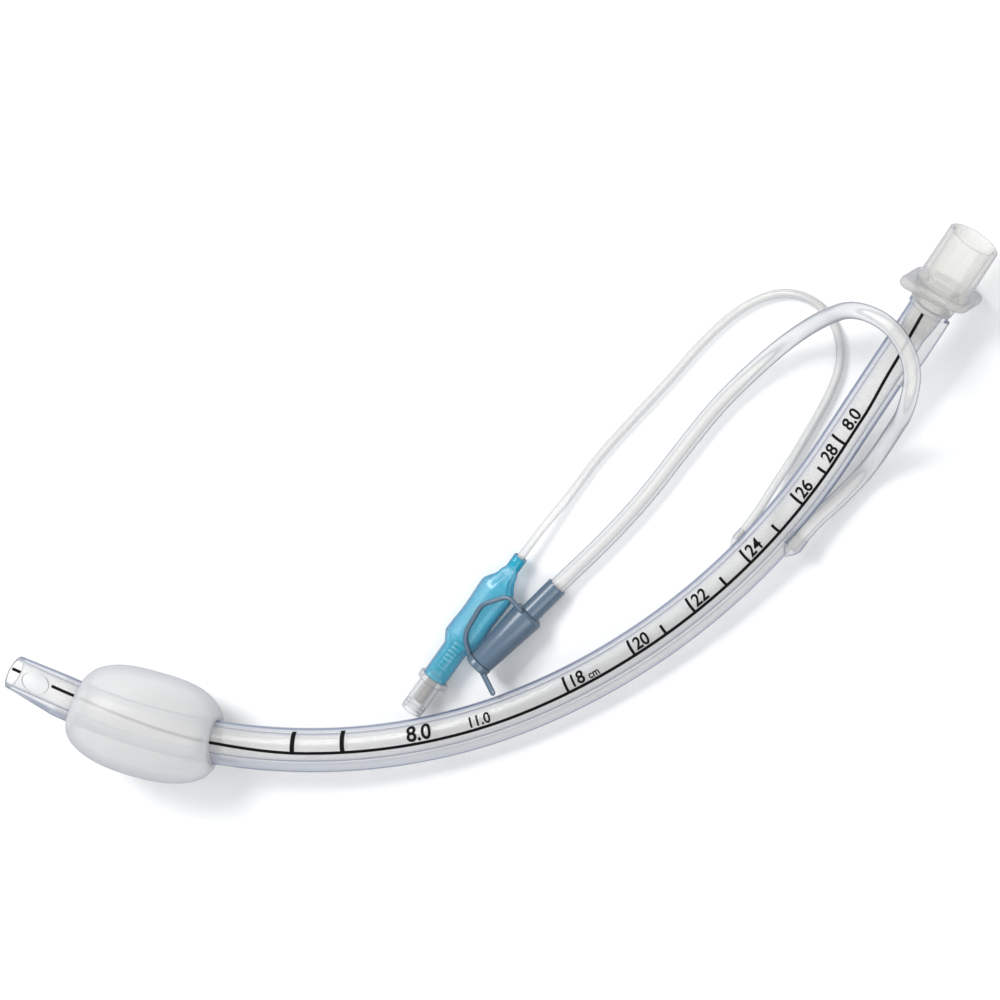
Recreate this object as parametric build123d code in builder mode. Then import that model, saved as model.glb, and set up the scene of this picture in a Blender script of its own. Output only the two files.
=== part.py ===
from build123d import *
import math
import os

os.makedirs("parts", exist_ok=True)

# An endotracheal tube with an inflated cuff and a suction lumen, lying on a table.
# The table is z = 0, +X runs from the tip towards the breathing end, in millimetres.

# Main tube
tube_bore = 8.0
tube_wall = 1.5
lobe_reach = 7.0  # from the tube's axis to the outside of the suction lobe
lobe_radius = 2.2
suction_lumen_diameter = 1.8
suction_lumen_skin = 0.6
inflation_lumen_diameter = 0.8
tip_straight = 15.0
tip_diameter = 9.9
tip_cut_angle = 8.0
cuff_bend_radius = 177.0
cuff_bend_turn = 46.2
belly_bend_radius = 216.0
turn_before_rest = 6.0
turn_to_notch = 15.0
turn_to_branch = 2.6
turn_after_branch = 7.6
bare_straight = 27.0
end_lobe_length = 22.0
end_collar_length = 1.4
tube_end_flare = 0.6
tube_end_flare_length = 9.0

# Where and how the tube lies: on its belly, its cuff and one ear of the connector
rest_point_x = 25.5
rest_point_y = -44.99
tube_azimuth = 27.5

# Side openings of the tube
eye_length = 8.0
eye_width = 5.8
eye_from_tip = 8.4
eye_turn = 16.0
port_length = 6.0
port_width = 2.0
port_beyond_cuff = 4.0
branch_wall = 0.5
branch_depth = 0.8
branch_boss_wall = 0.5
notch_boss_wall = 0.35
boss_length = 4.5

# Cuff
cuff_start = 20.6
cuff_length = 41.4
cuff_diameter = 30.2
cuff_film = 0.5
cuff_collar = 1.6
cuff_stations = 12
cuff_fullness = 2.6
cuff_hole_diameter = 0.9

# Breathing connector, a 15 mm male cone with two ears
cone_diameter = 15.5
cone_taper = 1 / 40
cone_length = 16.0
cone_wall = 1.2
flange_thickness = 2.6
flange_middle_diameter = 18.6
flange_edge_round = 0.9
flange_root_round = 1.2
ear_distance = 13.0
ear_radius = 2.6
hub_diameter = 13.6
hub_length = 3.8
stem_length = 11.0
stem_wall = 0.9

# Inflation line, pilot balloon and check valve
inflation_line_diameter = 2.3
luer_mouth_x = -32.6
luer_mouth_y = -56.79
luer_mouth_height = 4.6
balloon_neck_x = 0.9
balloon_neck_y = -14.19
balloon_neck_height = 3.7
luer_outer_diameter = 6.4
luer_bore_diameter = 4.3
luer_taper = 0.06
luer_length = 10.0
luer_floor = 8.6
valve_flange_diameter = 8.8
valve_flange_thickness = 1.8
seat_depth = 0.8
housing_outer_diameter = 6.2
housing_length = 13.2
housing_wall = 0.7
housing_vent_diameter = 2.4
spring_wire = 0.5
spring_turns = 7
plunger_diameter = 3.2
plunger_start = 3.5
plunger_groove = 0.7
plunger_groove_count = 4
plunger_head_diameter = 4.3
plunger_head_thickness = 0.9
plunger_guide_length = 2.5
seal_thickness = 0.6
running_clearance = 0.08
balloon_film = 0.5
balloon_length = 28.7
balloon_neck_diameter = 4.0
balloon_socket_length = 9.6
balloon_half_width = 5.6
balloon_half_height = 3.8
balloon_waist_width = 5.2
neck_lead = 8.0
neck_grip = 2.4

# Suction line, its connector and the tethered cap
suction_line_diameter = 4.8
stub_end_x = 11.5
stub_end_y = -22.19
suction_azimuth = 224.6
stub_diameter = 5.9
stub_length = 10.8
stub_lead = 2.0
shoulder_diameter = 9.3
shoulder_round = 1.0
body_length = 19.4
body_end_diameter = 7.2
suction_socket_depth = 8.0
suction_bore_diameter = 3.0
plug_diameter = 4.4
plug_depth = 5.0
cap_diameter = 7.4
cap_thickness = 2.1
cap_gap = 0.05
cap_clearance = 0.08
tab_length = 7.4
tab_width = 1.5
tab_thickness = 1.0
tab_azimuth = 308.0
tab_rise = 22.0
strap_thickness = 1.0
strap_width = 1.5
strap_height = 8.9

# Where the soft lines run, point by point
inflation_route = [
    (72.3, -2.69, 5.6), (76.1, 4.31, 3.2), (81.3, 12.31, 1.5), (86.9, 20.91, 1.2),
    (92.5, 29.71, 1.2), (96.6, 39.11, 1.2), (95.6, 48.51, 1.2), (89.5, 55.91, 1.2),
    (79.9, 59.11, 1.2), (68.1, 55.31, 1.2), (56.3, 46.31, 1.2), (45.7, 35.11, 1.2),
    (34.1, 23.91, 1.2), (23.3, 13.31, 1.2), (14.9, 2.71, 1.3)]
suction_route = [
    (89.1, -4.29, 5.6), (96.3, 1.91, 3.4), (105.4, 10.61, 3.4), (117.0, 20.71, 14.1),
    (124.5, 26.51, 22.7), (128.3, 38.41, 25.6), (122.6, 49.91, 27.2), (110.6, 54.71, 25.6),
    (98.3, 52.01, 16.5), (84.4, 46.21, 7.4), (71.9, 37.71, 3.8), (60.3, 27.91, 2.5),
    (49.3, 15.51, 2.5), (38.3, 2.51, 2.5), (26.0, -9.6, 2.5)]
strap_route = [
    (2.7, -28.49), (-0.7, -24.89), (-8.9, -27.29), (-14.5, -35.89), (-12.3, -41.89)]
strap_radii = [3.0, 5.0, 6.5]

# Values worked out from the sizes above
tube_bore_radius = tube_bore / 2
tube_radius = tube_bore_radius + tube_wall
tip_radius = tip_diameter / 2
cuff_radius = cuff_diameter / 2
lobe_centre = lobe_reach - lobe_radius
lumen_centre = lobe_reach - suction_lumen_skin - suction_lumen_diameter / 2
inflation_lumen_centre = tube_bore_radius + tube_wall / 2
flared_radius = tube_radius + tube_end_flare
flared_bore_radius = tube_bore_radius + tube_end_flare
lobe_shift = (lobe_reach - tube_radius) / 2
collar_radius = (lobe_reach + tube_radius) / 2 + cuff_film
azimuth = math.radians(tube_azimuth)


def cuff_place(share):
    """How far along the first bend a place on the cuff lies, from -1 to 1 end to end."""
    return cuff_start - tip_straight + cuff_length * (share + 1) / 2


def cuff_swell(share):
    return math.sqrt(max(0, 1 - abs(share) ** cuff_fullness))


def cuff_radius_at(share):
    return collar_radius + (cuff_radius - collar_radius) * cuff_swell(share)


def chain(start, tangent, steps):
    """A list of edges, tangent to each other: (radius, degrees) bends and (length,) runs."""
    edges = []
    for step in steps:
        if len(step) == 2:
            edges.append(JernArc(start, tangent, *step))
        else:
            edges.append(Line(start, start + tangent * step[0]))
        start = edges[-1] @ 1
        tangent = edges[-1] % 1
    return edges


# The bend lies flat first, to find the height of the cuff above the table and the tip's place
back_steps = [
    (belly_bend_radius, -turn_before_rest), (cuff_bend_radius, -cuff_bend_turn), (tip_straight,)]
with BuildLine():
    flat_bend = chain(Vector(0, 0), Vector(-1, 0), back_steps)
leans = []
for index in range(cuff_stations + 1):
    share = -math.cos(math.pi * index / cuff_stations)
    along = 1 - cuff_place(share) / flat_bend[1].length
    away = (flat_bend[1] @ along).Y
    slope = (flat_bend[1] % along).Y
    reach = cuff_radius_at(share)
    square = away ** 2 + (reach * slope) ** 2
    root = math.sqrt((tube_radius * away) ** 2 + square * (reach ** 2 - tube_radius ** 2))
    leans.append((root - tube_radius * away) / square)
flat_tip = flat_bend[2] @ 1
flat_tip_heading = flat_bend[2] % 1 * -1
roll = math.asin(max(leans))

# The bend's own plane is rolled about the rest point until the cuff touches the table
bend_normal = Vector(
    math.sin(azimuth) * math.sin(roll), -math.cos(azimuth) * math.sin(roll), math.cos(roll))
bend_plane = Plane(
    (rest_point_x, rest_point_y, tube_radius),
    x_dir=(math.cos(azimuth), math.sin(azimuth), 0), z_dir=bend_normal)
tip_start = bend_plane.from_local_coords(flat_tip)
tip_heading = (bend_plane.from_local_coords(flat_tip + flat_tip_heading) - tip_start).normalized()
tube_steps = [
    (tip_straight,), (cuff_bend_radius, cuff_bend_turn),
    (belly_bend_radius, turn_before_rest + turn_to_notch), (belly_bend_radius, turn_to_branch),
    (belly_bend_radius, turn_after_branch), (bare_straight,), (end_lobe_length,),
    (end_collar_length,)]
with BuildLine(bend_plane):
    tube_path = chain(tip_start, tip_heading, tube_steps)
tip_run, cuff_bend, belly_bend, notch_to_branch, after_branch, bare_run, lobe_run, end_run = tube_path


def across(edge, distance):
    """The plane across the tube: x looks up out of the bend, y to the outside of the bend."""
    share = distance / edge.length
    return Plane(edge @ share, x_dir=bend_normal, z_dir=edge % share)


def sideways(edge, distance, turn):
    """A plane on the tube's axis with x along it, facing the turn from the top to the outside."""
    station = across(edge, distance)
    angle = math.radians(turn)
    outward = station.x_dir * math.cos(angle) + station.y_dir * math.sin(angle)
    return Plane(station.origin, x_dir=station.z_dir, z_dir=outward)


def lobed_section(plane, radius=tube_radius, centre=lobe_centre):
    """The extruded outline: a round tube with a smaller round lobe on the outside of the bend."""
    with BuildSketch(plane) as section:
        Circle(radius)
        with Locations((0, centre)):
            Circle(lobe_radius)
        make_hull()
    return section.sketch


def round_section(plane, radius, y=0):
    with BuildSketch(plane) as section:
        with Locations((0, y)):
            Circle(radius)
    return section.sketch


def direction(azimuth_degrees, rise_degrees=0):
    turn = math.radians(azimuth_degrees)
    rise = math.radians(rise_degrees)
    return Vector(math.cos(turn) * math.cos(rise), math.sin(turn) * math.cos(rise), math.sin(rise))


def turned_on(plane):
    """The axis of a turned piece, whose outline is drawn with x along the piece."""
    return Axis(plane.origin, plane.x_dir)


def along_bends(section, bends, mode=Mode.ADD):
    """Turn a section about the centre of each bend in turn, from the first one's start."""
    for edge, turn in bends:
        bend_axis = Axis(edge.arc_center, bend_normal)
        revolve(section, axis=bend_axis, revolution_arc=turn, mode=mode)
        section = section.rotate(bend_axis, turn)


def first_run(start, route):
    """The plane across a line at its start, facing along its first run."""
    return Plane(start, z_dir=Vector(*route[0]) - start)


# Axes of the valve, which lies almost level, and of the suction connector, tilted on its shoulder
luer_mouth = Vector(luer_mouth_x, luer_mouth_y, luer_mouth_height)
balloon_neck = Vector(balloon_neck_x, balloon_neck_y, balloon_neck_height)
valve_way = (balloon_neck - luer_mouth).normalized()
stub_rise = math.degrees(math.asin((shoulder_diameter - stub_diameter) / 2 / stub_length))
suction_way = direction(suction_azimuth, stub_rise)
stub_end = Vector(stub_end_x, stub_end_y, stub_diameter / 2 * math.cos(math.radians(stub_rise)))

def soft_line(route, diameter):
    """A line of straight runs joined by arcs, each as large as its two runs allow."""
    corners = [Vector(point) for point in route]
    radii = []
    for before, corner, after in zip(corners, corners[1:], corners[2:]):
        turn = math.radians((corner - before).get_angle(after - corner))
        shorter = min((corner - before).length, (after - corner).length)
        radii.append(0.45 * shorter / math.tan(turn / 2))
    print("radii", [round(radius, 1) for radius in radii], "diameters", round(min(radii) / diameter, 1))
    with BuildLine() as path:
        centre_line = FilletPolyline(*corners, radius=radii)
    with BuildPart() as line:
        with BuildSketch(Plane(centre_line @ 0, z_dir=centre_line % 0)):
            Circle(diameter / 2)
        sweep(path=path.wires()[0])
    ratio = line.part.volume / (math.pi * diameter ** 2 / 4 * centre_line.length)
    print("length", round(centre_line.length, 1), "volume ratio", round(ratio, 4))
    return line


# Soft lines, each from its branch on the tube into its socket
branch_plane = across(notch_to_branch, notch_to_branch.length - branch_depth)
notch_plane = across(belly_bend, belly_bend.length - branch_depth)
bends_to_notch = [(cuff_bend, cuff_bend_turn), (belly_bend, turn_before_rest + turn_to_notch)]
bends_to_branch = bends_to_notch + [(notch_to_branch, turn_to_branch)]
bend_after_branch = [(after_branch, turn_after_branch)]
branch_reach = tube_bore_radius + branch_wall + suction_line_diameter / 2
notch_reach = tube_bore_radius + branch_wall + inflation_line_diameter / 2
suction_start = first_run(branch_plane.origin + branch_plane.y_dir * branch_reach, suction_route)
inflation_start = first_run(notch_plane.origin - notch_plane.y_dir * notch_reach, inflation_route)
neck_bend = balloon_neck + valve_way * neck_lead
line_in_neck = balloon_neck - valve_way * neck_grip
stub_bend = stub_end - suction_way * stub_lead
socket_floor = stub_end + suction_way * suction_socket_depth
inflation_line = soft_line(
    [inflation_start.origin, *inflation_route, neck_bend, line_in_neck], inflation_line_diameter)
suction_line = soft_line(
    [suction_start.origin, *suction_route, stub_bend, socket_floor], suction_line_diameter)

# Main tube: multi-lumen extrusion, bevelled tip, eye, suction port, skived branches, flared end
stem_plane = across(end_run, end_run.length)
end_plane = Plane(stem_plane.origin, x_dir=stem_plane.z_dir, z_dir=bend_normal)
with BuildPart() as main_tube:
    with BuildSketch(across(tip_run, 0)):
        add(lobed_section(Plane.XY, tip_radius, tip_radius - lobe_radius + 0.1))
    with BuildSketch(across(tip_run, tip_straight)):
        add(lobed_section(Plane.XY))
    loft(ruled=True)
    along_bends(lobed_section(across(cuff_bend, 0)), bends_to_branch)
    along_bends(round_section(across(after_branch, 0), tube_radius), bend_after_branch)
    with BuildSketch(across(bare_run, 0)):
        Circle(tube_radius)
    extrude(amount=bare_straight + end_lobe_length + end_collar_length)
    with BuildSketch(across(lobe_run, 0)):
        add(lobed_section(Plane.XY))
    extrude(amount=end_lobe_length)
    with BuildSketch(end_plane):
        Polygon(
            (-tube_end_flare_length, 0), (-tube_end_flare_length, tube_radius),
            (-tube_end_flare_length * 0.6, flared_radius), (0, flared_radius), (0, 0), align=None)
    revolve(axis=turned_on(end_plane))
    with BuildSketch(suction_start):
        Circle(suction_line_diameter / 2 + branch_boss_wall)
    extrude(amount=boss_length)
    with BuildSketch(inflation_start):
        Circle(inflation_line_diameter / 2 + notch_boss_wall)
    extrude(amount=boss_length)
    with BuildSketch(across(tip_run, 0)):
        Circle(tube_bore_radius)
    extrude(amount=tip_straight, mode=Mode.SUBTRACT)
    bore_section = round_section(across(cuff_bend, 0), tube_bore_radius)
    along_bends(bore_section, bends_to_branch + bend_after_branch, mode=Mode.SUBTRACT)
    with BuildSketch(across(bare_run, 0)):
        Circle(tube_bore_radius)
    extrude(amount=bare_straight + end_lobe_length + end_collar_length, mode=Mode.SUBTRACT)
    with BuildSketch(end_plane):
        Polygon(
            (-tube_end_flare_length, 0), (-tube_end_flare_length, tube_bore_radius),
            (-tube_end_flare_length * 0.6, flared_bore_radius), (0, flared_bore_radius), (0, 0),
            align=None)
    revolve(axis=turned_on(end_plane), mode=Mode.SUBTRACT)
    lumen_plane = across(cuff_bend, 0)
    suction_lumen = round_section(lumen_plane, suction_lumen_diameter / 2, lumen_centre)
    along_bends(suction_lumen, bends_to_branch, mode=Mode.SUBTRACT)
    inflation_lumen = round_section(
        lumen_plane, inflation_lumen_diameter / 2, -inflation_lumen_centre)
    along_bends(inflation_lumen, bends_to_notch, mode=Mode.SUBTRACT)
    add(suction_line.part, mode=Mode.SUBTRACT)
    add(inflation_line.part, mode=Mode.SUBTRACT)
    with BuildSketch(sideways(tip_run, eye_from_tip, -eye_turn)):
        Ellipse(eye_length / 2, eye_width / 2)
    extrude(amount=lobe_reach, mode=Mode.SUBTRACT)
    port_place = cuff_start + cuff_length + port_beyond_cuff - tip_straight
    with BuildSketch(sideways(cuff_bend, port_place, 90).offset(lumen_centre)):
        SlotOverall(port_length, port_width)
    extrude(amount=lobe_reach, mode=Mode.SUBTRACT)
    with BuildSketch(sideways(cuff_bend, cuff_place(0), -90).offset(inflation_lumen_centre)):
        Circle(cuff_hole_diameter / 2)
    extrude(amount=tube_wall, mode=Mode.SUBTRACT)
    tip_plane = across(tip_run, 0)
    cut_angle = math.radians(tip_cut_angle)
    split(bisect_by=Plane(
        tip_plane.origin + tip_plane.x_dir * tip_radius,
        z_dir=tip_plane.z_dir * math.cos(cut_angle) + tip_plane.x_dir * math.sin(cut_angle)))

# Cuff: a thin film, blown full round the curved tube, with a collar at each end


def cuff_circles(share_from, share_to, shrink):
    """Circles across the bent tube that swell from the collars to the cuff's full size."""
    for index in range(cuff_stations + 1):
        share = -math.cos(math.pi * index / cuff_stations)
        share = share_from + (share_to - share_from) * (share + 1) / 2
        shift = lobe_shift * (1 - cuff_swell(share))
        yield round_section(
            across(cuff_bend, cuff_place(share)), cuff_radius_at(share) - shrink, shift)


collar_share = 1 - 2 * cuff_collar / cuff_length
with BuildPart() as cuff:
    loft(list(cuff_circles(-1, 1, 0)))
    loft(list(cuff_circles(-collar_share, collar_share, cuff_film)), mode=Mode.SUBTRACT)
    tube_outside = lobed_section(across(cuff_bend, 0))
    along_bends(tube_outside, [(cuff_bend, cuff_bend_turn)], mode=Mode.SUBTRACT)

# Breathing connector: a stem in the tube's flared end, a hub, an eared flange and the cone
tube_heading = stem_plane.z_dir
flange_place = stem_plane.origin + tube_heading * (hub_length + flange_thickness / 2)
level_side = tube_heading.cross(Vector(0, 0, 1)).normalized()
steep_up = level_side.cross(tube_heading)
ear_drop = math.asin((flange_place.Z - ear_radius) / (ear_distance * steep_up.Z))
ear_way = level_side * math.cos(ear_drop) - steep_up * math.sin(ear_drop)
connector_plane = Plane(flange_place, x_dir=tube_heading, z_dir=bend_normal)
flange_back = -flange_thickness / 2
flange_front = flange_thickness / 2
cone_end = flange_front + cone_length
cone_root_radius = cone_diameter / 2
cone_end_radius = cone_root_radius - cone_length * cone_taper / 2
stem_end = flange_back - hub_length - stem_length
stem_bore_radius = flared_bore_radius - stem_wall
flare_foot = flange_back - hub_length - tube_end_flare_length
stem_tip_radius = tube_bore_radius
with BuildPart() as breathing_connector:
    with BuildSketch(connector_plane):
        Polygon(
            (stem_end, 0), (stem_end, stem_tip_radius), (flare_foot, stem_tip_radius),
            (flare_foot + tube_end_flare_length * 0.4, flared_bore_radius),
            (flange_back - hub_length, flared_bore_radius),
            (flange_back - hub_length, hub_diameter / 2 - 0.4), (flange_back, hub_diameter / 2),
            (flange_back, cone_root_radius), (flange_front, cone_root_radius),
            (cone_end, cone_end_radius), (cone_end, 0), align=None)
    revolve(axis=turned_on(connector_plane))
    with BuildSketch(Plane(
            flange_place - tube_heading * (flange_thickness / 2), x_dir=ear_way, z_dir=tube_heading)):
        Circle(flange_middle_diameter / 2)
        with Locations((ear_distance, 0), (-ear_distance, 0)):
            Circle(ear_radius)
        make_hull()
    flange = extrude(amount=flange_thickness)
    flange_rims = flange.faces().sort_by(Axis(flange_place, tube_heading))
    rims = flange_rims[0].outer_wire().edges() + flange_rims[-1].outer_wire().edges()
    cone_root = breathing_connector.edges().filter_by(GeomType.CIRCLE).filter_by(
        lambda edge: abs(edge.radius - cone_root_radius) < 0.01).sort_by(
        Axis(flange_place, tube_heading))[-1]
    fillet(rims, flange_edge_round)
    fillet(cone_root, flange_root_round)
    with BuildSketch(connector_plane):
        Polygon(
            (stem_end, 0), (stem_end, stem_tip_radius - 0.4), (stem_end + 3, stem_bore_radius),
            (flange_back, stem_bore_radius), (flange_front + 2, cone_root_radius - cone_wall - 0.4),
            (cone_end, cone_end_radius - cone_wall), (cone_end, 0), align=None)
    revolve(axis=turned_on(connector_plane), mode=Mode.SUBTRACT)

# Check valve, along its axis from the luer mouth to the pilot balloon's neck
valve_plane = Plane(luer_mouth, x_dir=valve_way, z_dir=valve_way.cross(Vector(0, 0, 1)).cross(valve_way))
valve_axis = turned_on(valve_plane)
flange_end = luer_length + valve_flange_thickness
seat_face = flange_end + seat_depth
housing_end = flange_end + housing_length
housing_bore_radius = housing_outer_diameter / 2 - housing_wall
plunger_radius = plunger_diameter / 2
head_face = seat_face + seal_thickness + running_clearance
head_back = head_face + plunger_head_thickness
spring_end = housing_end - housing_wall
spring_radius = (plunger_head_diameter - spring_wire) / 2
luer_mouth_radius = luer_bore_diameter / 2
luer_floor_radius = luer_mouth_radius - luer_floor * luer_taper / 2
with BuildPart() as valve_luer:
    with BuildSketch(valve_plane):
        Polygon(
            (0, luer_mouth_radius), (0, luer_outer_diameter / 2),
            (luer_length, luer_outer_diameter / 2), (luer_length, valve_flange_diameter / 2),
            (flange_end, valve_flange_diameter / 2), (flange_end, housing_bore_radius),
            (seat_face, housing_bore_radius), (seat_face, plunger_radius + running_clearance),
            (luer_floor, plunger_radius + running_clearance), (luer_floor, luer_floor_radius),
            align=None)
    revolve(axis=valve_axis)
    flange_edges = valve_luer.edges().filter_by(GeomType.CIRCLE).filter_by(
        lambda edge: abs(edge.radius - valve_flange_diameter / 2) < 0.01)
    fillet(flange_edges, valve_flange_thickness / 4)

with BuildPart() as valve_housing:
    with BuildSketch(valve_plane):
        Polygon(
            (flange_end, housing_bore_radius), (flange_end, housing_outer_diameter / 2),
            (housing_end, housing_outer_diameter / 2), (housing_end, housing_vent_diameter / 2),
            (spring_end, housing_vent_diameter / 2), (spring_end, housing_bore_radius), align=None)
    revolve(axis=valve_axis)

with BuildPart() as valve_plunger:
    with BuildSketch(valve_plane):
        Polygon(
            (plunger_start, 0), (plunger_start, plunger_radius), (head_face, plunger_radius),
            (head_face, plunger_head_diameter / 2), (head_back, plunger_head_diameter / 2),
            (head_back, spring_radius - spring_wire), (head_back + plunger_guide_length, 1.0),
            (head_back + plunger_guide_length, 0), align=None)
    revolve(axis=valve_axis)
    groove_plane = Plane(luer_mouth + valve_way * plunger_start, z_dir=valve_way)
    with BuildSketch(groove_plane):
        with PolarLocations(plunger_radius, plunger_groove_count):
            Rectangle(plunger_groove, plunger_groove)
    extrude(amount=seat_face - plunger_start, mode=Mode.SUBTRACT)

with BuildPart() as valve_seal:
    with BuildSketch(groove_plane.offset(seat_face + running_clearance - plunger_start)):
        Circle(plunger_head_diameter / 2)
        Circle(plunger_radius, mode=Mode.SUBTRACT)
    extrude(amount=seal_thickness)

spring_length = spring_end - head_back - spring_wire - 2 * running_clearance
spring_foot = groove_plane.offset(head_back + spring_wire / 2 + running_clearance - plunger_start)
spring_axis = Helix(spring_length / spring_turns, spring_length, spring_radius)
spring_axis = spring_foot.location * spring_axis
with BuildPart() as valve_spring:
    with BuildSketch(Plane(spring_axis @ 0, z_dir=spring_axis % 0)):
        Circle(spring_wire / 2)
    sweep(path=Wire(spring_axis), is_frenet=True)

# Pilot balloon: a thin pillow from the valve's flange to the inflation line
balloon_start = flange_end + balloon_socket_length
balloon_end = balloon_start + balloon_length
neck_end = (balloon_neck - luer_mouth).length
balloon_socket_radius = housing_outer_diameter / 2 + balloon_film
neck_radius = balloon_neck_diameter / 2
balloon_sections = [
    (0, balloon_socket_radius, balloon_socket_radius),
    (0.13, balloon_half_width, balloon_half_height),
    (0.43, balloon_waist_width, balloon_half_height),
    (0.73, balloon_half_width * 0.98, balloon_half_height * 0.94),
    (0.92, balloon_half_width * 0.5, balloon_half_height * 0.66),
    (1, neck_radius, neck_radius)]


def pillow(thinner):
    """Ovals across the balloon's axis, level with the table."""
    for share, half_width, half_height in balloon_sections:
        place = luer_mouth + valve_way * (balloon_start + share * balloon_length)
        with BuildSketch(Plane(place, x_dir=valve_way.cross(Vector(0, 0, 1)), z_dir=valve_way)) as oval:
            Ellipse(half_width - thinner, half_height - thinner)
        yield oval.sketch


with BuildPart() as pilot_balloon:
    loft(list(pillow(0)))
    with BuildSketch(groove_plane.offset(flange_end - plunger_start)):
        Circle(balloon_socket_radius)
    extrude(amount=balloon_socket_length)
    with BuildSketch(groove_plane.offset(balloon_end - plunger_start)):
        Circle(neck_radius)
    extrude(amount=neck_end - balloon_end)
    loft(list(pillow(balloon_film)), mode=Mode.SUBTRACT)
    with BuildSketch(groove_plane.offset(flange_end - plunger_start)):
        Circle(housing_outer_diameter / 2)
    extrude(amount=balloon_socket_length, mode=Mode.SUBTRACT)
    with BuildSketch(groove_plane.offset(balloon_end - plunger_start - 1)):
        Circle(inflation_line_diameter / 2 - balloon_film)
    extrude(amount=neck_end - balloon_end, mode=Mode.SUBTRACT)
    add(inflation_line.part, mode=Mode.SUBTRACT)

# Suction connector: the stub and the shoulder rest on the table, the mouth looks up a little
suction_plane = Plane(stub_end, x_dir=suction_way, z_dir=direction(suction_azimuth + 90))
suction_axis = turned_on(suction_plane)
body_end = stub_length + body_length
plug_radius = plug_diameter / 2
shoulder_outline = [
    (0, 0), (0, stub_diameter / 2), (stub_length, stub_diameter / 2),
    (stub_length, shoulder_diameter / 2 - shoulder_round),
    (stub_length + shoulder_round, shoulder_diameter / 2), (body_end, body_end_diameter / 2),
    (body_end, 0)]
with BuildPart() as suction_connector:
    with BuildSketch(suction_plane):
        Polygon(*shoulder_outline, align=None)
    revolve(axis=suction_axis)
    with BuildSketch(suction_plane):
        Polygon(
            (suction_socket_depth, 0), (suction_socket_depth, suction_bore_diameter / 2),
            (body_end - plug_depth - 4, suction_bore_diameter / 2),
            (body_end - plug_depth - 1, plug_radius + cap_clearance),
            (body_end, plug_radius + cap_clearance), (body_end, 0), align=None)
    revolve(axis=suction_axis, mode=Mode.SUBTRACT)
    add(suction_line.part, mode=Mode.SUBTRACT)

cap_face = body_end + cap_gap
cap_end = cap_face + cap_thickness
tab_way = direction(tab_azimuth, tab_rise)
with BuildPart() as suction_cap:
    with BuildSketch(suction_plane):
        Polygon(
            (cap_face - plug_depth, 0), (cap_face - plug_depth, plug_radius - 0.3),
            (cap_face - plug_depth + 0.6, plug_radius), (cap_face, plug_radius),
            (cap_face, cap_diameter / 2), (cap_end - 0.4, cap_diameter / 2),
            (cap_end, cap_diameter / 2 - 0.4), (cap_end, 0), align=None)
    revolve(axis=suction_axis)
    tab_root = stub_end + suction_way * (cap_face + cap_thickness / 2)
    with BuildSketch(Plane(tab_root, x_dir=direction(tab_azimuth + 90), z_dir=tab_way)):
        Rectangle(tab_width, tab_thickness)
    extrude(amount=cap_diameter / 2 + tab_length)

# Tether: one thin strip from the shoulder round to the cap, lying over the pilot balloon
strap_points = [(x, y, strap_height) for x, y in strap_route]
with BuildLine() as strap_path:
    FilletPolyline(*strap_points, radius=strap_radii)
with BuildPart() as cap_tether:
    with BuildSketch(Plane(strap_path.line @ 0, x_dir=(0, 0, 1), z_dir=strap_path.line % 0)):
        Rectangle(strap_width, strap_thickness)
    sweep(path=strap_path.line)
    with BuildSketch(suction_plane):
        Polygon(*shoulder_outline, align=None)
    revolve(axis=suction_axis, mode=Mode.SUBTRACT)
    with BuildSketch(suction_plane):
        Polygon(
            (cap_face, 0), (cap_face, cap_diameter / 2), (cap_end, cap_diameter / 2),
            (cap_end, 0), align=None)
    revolve(axis=suction_axis, mode=Mode.SUBTRACT)

pieces = {
    "main_tube": main_tube, "cuff": cuff, "breathing_connector": breathing_connector,
    "inflation_line": inflation_line, "pilot_balloon": pilot_balloon, "valve_luer": valve_luer,
    "valve_housing": valve_housing, "valve_plunger": valve_plunger, "valve_seal": valve_seal,
    "valve_spring": valve_spring, "suction_line": suction_line,
    "suction_connector": suction_connector, "suction_cap": suction_cap, "cap_tether": cap_tether}
for label, piece in pieces.items():
    piece.part.label = label
    export_step(piece.part, f"parts/{label}.step")
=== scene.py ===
import math
import bmesh
import bpy
from mathutils import Matrix, Vector


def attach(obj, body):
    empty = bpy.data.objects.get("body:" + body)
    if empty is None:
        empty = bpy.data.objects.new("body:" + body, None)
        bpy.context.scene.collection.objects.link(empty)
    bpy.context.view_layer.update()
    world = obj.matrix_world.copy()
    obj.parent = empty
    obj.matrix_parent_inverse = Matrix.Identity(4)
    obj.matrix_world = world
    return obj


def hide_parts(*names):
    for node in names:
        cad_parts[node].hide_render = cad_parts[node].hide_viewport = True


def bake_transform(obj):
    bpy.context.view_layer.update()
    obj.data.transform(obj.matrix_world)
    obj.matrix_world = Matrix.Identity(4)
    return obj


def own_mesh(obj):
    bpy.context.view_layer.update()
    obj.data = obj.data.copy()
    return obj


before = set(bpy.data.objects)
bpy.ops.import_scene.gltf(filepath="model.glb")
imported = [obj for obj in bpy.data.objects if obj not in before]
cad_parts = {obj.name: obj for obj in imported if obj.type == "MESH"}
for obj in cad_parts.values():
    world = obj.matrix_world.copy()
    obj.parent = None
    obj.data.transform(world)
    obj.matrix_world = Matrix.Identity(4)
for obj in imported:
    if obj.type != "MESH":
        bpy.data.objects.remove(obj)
print("frame loaded")
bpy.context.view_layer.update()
mm = 0.001
up = Vector((0, 0, 1))
scene = bpy.context.scene

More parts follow.
